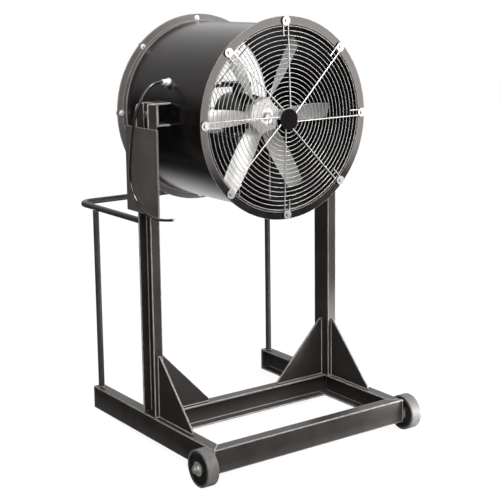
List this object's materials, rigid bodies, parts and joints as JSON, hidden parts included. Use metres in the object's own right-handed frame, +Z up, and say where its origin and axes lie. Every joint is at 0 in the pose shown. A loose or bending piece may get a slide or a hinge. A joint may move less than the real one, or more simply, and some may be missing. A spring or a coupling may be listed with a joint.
{
  "type": "drum fan",
  "caption": "Drum fan on a high wheeled stand: round drum with wire guards, bladed propeller and motor inside, tilting between two posts, with a push handle behind.",
  "frame": {"origin": "centre of the standing fan's box, on the floor under its wheels and the rear corners of its rails", "axes": "+Z up, the drum blows towards -Y and a little upwards, +X to the right of a viewer facing +Y, along the wheels' axle and the tilt pivot"},
  "size_m": [1.1588, 1.2172, 1.8052],
  "materials": {
    "black_paint": "satin, lightly worn",
    "grey_tread": "matt, moulded",
    "wheel_casting": "as cast, oiled",
    "bushing_steel": "turned",
    "bright_zinc": "bright zinc plate",
    "bare_aluminium": "mill finish",
    "motor_paint": "semi-gloss over casting",
    "motor_steel": "ground",
    "flexible_conduit": "dark, wound strip",
    "black_rubber": "slightly shiny jacket"
  },
  "bodies": {
    "stand": {"left_side_rail": "black_paint", "right_side_rail": "black_paint", "front_cross_rail": "black_paint", "middle_cross_rail": "black_paint", "rail_end_caps": "black_paint", "left_upright": "black_paint", "right_upright": "black_paint", "front_gussets": "black_paint", "cross_gussets": "black_paint", "starter_plate": "black_paint", "handle_tube": "black_paint", "handle_posts": "black_paint", "axle": "bright_zinc", "axle_spacers": "bright_zinc", "axle_washers": "bright_zinc", "axle_nuts": "bright_zinc", "pivot_bolts": "bright_zinc", "pivot_washers": "bright_zinc", "pivot_nuts": "bright_zinc"},
    "drum": {"drum_shell": "black_paint", "front_flange_ring": "black_paint", "rear_flange_ring": "black_paint", "left_trunnion_bracket": "black_paint", "right_trunnion_bracket": "black_paint", "front_guard": "bright_zinc", "rear_guard": "bright_zinc", "guard_discs": "black_paint", "guard_bolts": "bright_zinc", "guard_washers": "bright_zinc", "guard_nuts": "bright_zinc", "motor_stator": "motor_steel", "motor_frame": "motor_paint", "motor_front_bell": "motor_paint", "motor_rear_bell": "motor_paint", "motor_bearings": "motor_steel", "motor_foot": "motor_paint", "motor_bolts": "bright_zinc", "motor_nuts": "bright_zinc", "motor_stand": "black_paint", "conduit_box": "motor_paint", "motor_lead": "flexible_conduit", "cord_connector": "bright_zinc", "connector_locknut": "bright_zinc", "connector_clamp": "bright_zinc", "clamp_screws": "bright_zinc", "power_cord": "black_rubber"},
    "propeller": {"propeller_hub": "bare_aluminium", "propeller_blades": "bare_aluminium", "motor_shaft": "motor_steel", "shaft_nut": "bright_zinc", "motor_rotor": "motor_steel"},
    "left_wheel": {"left_wheel_tread": "grey_tread", "left_wheel_core": "wheel_casting", "left_wheel_bushing": "bushing_steel", "left_wheel_fitting": "bright_zinc"},
    "right_wheel": {"right_wheel_tread": "grey_tread", "right_wheel_core": "wheel_casting", "right_wheel_bushing": "bushing_steel", "right_wheel_fitting": "bright_zinc"}
  },
  "joints": [
    {"name": "drum_tilt", "type": "hinge", "parent": "stand", "child": "drum", "pos_m": [0, 0.00753, 1.39884], "axis": [1, 0, 0], "range_deg": [-30, 30]},
    {"name": "propeller_spin", "type": "hinge", "parent": "drum", "child": "propeller", "pos_m": [0, 0.00648, 1.37486], "axis": [0, -0.999, 0.0438], "continuous": true},
    {"name": "left_wheel_spin", "type": "hinge", "parent": "stand", "child": "left_wheel", "pos_m": [0, -0.53246, 0.0762], "axis": [1, 0, 0], "continuous": true},
    {"name": "right_wheel_spin", "type": "hinge", "parent": "stand", "child": "right_wheel", "pos_m": [0, -0.53246, 0.0762], "axis": [1, 0, 0], "continuous": true}
  ]
}
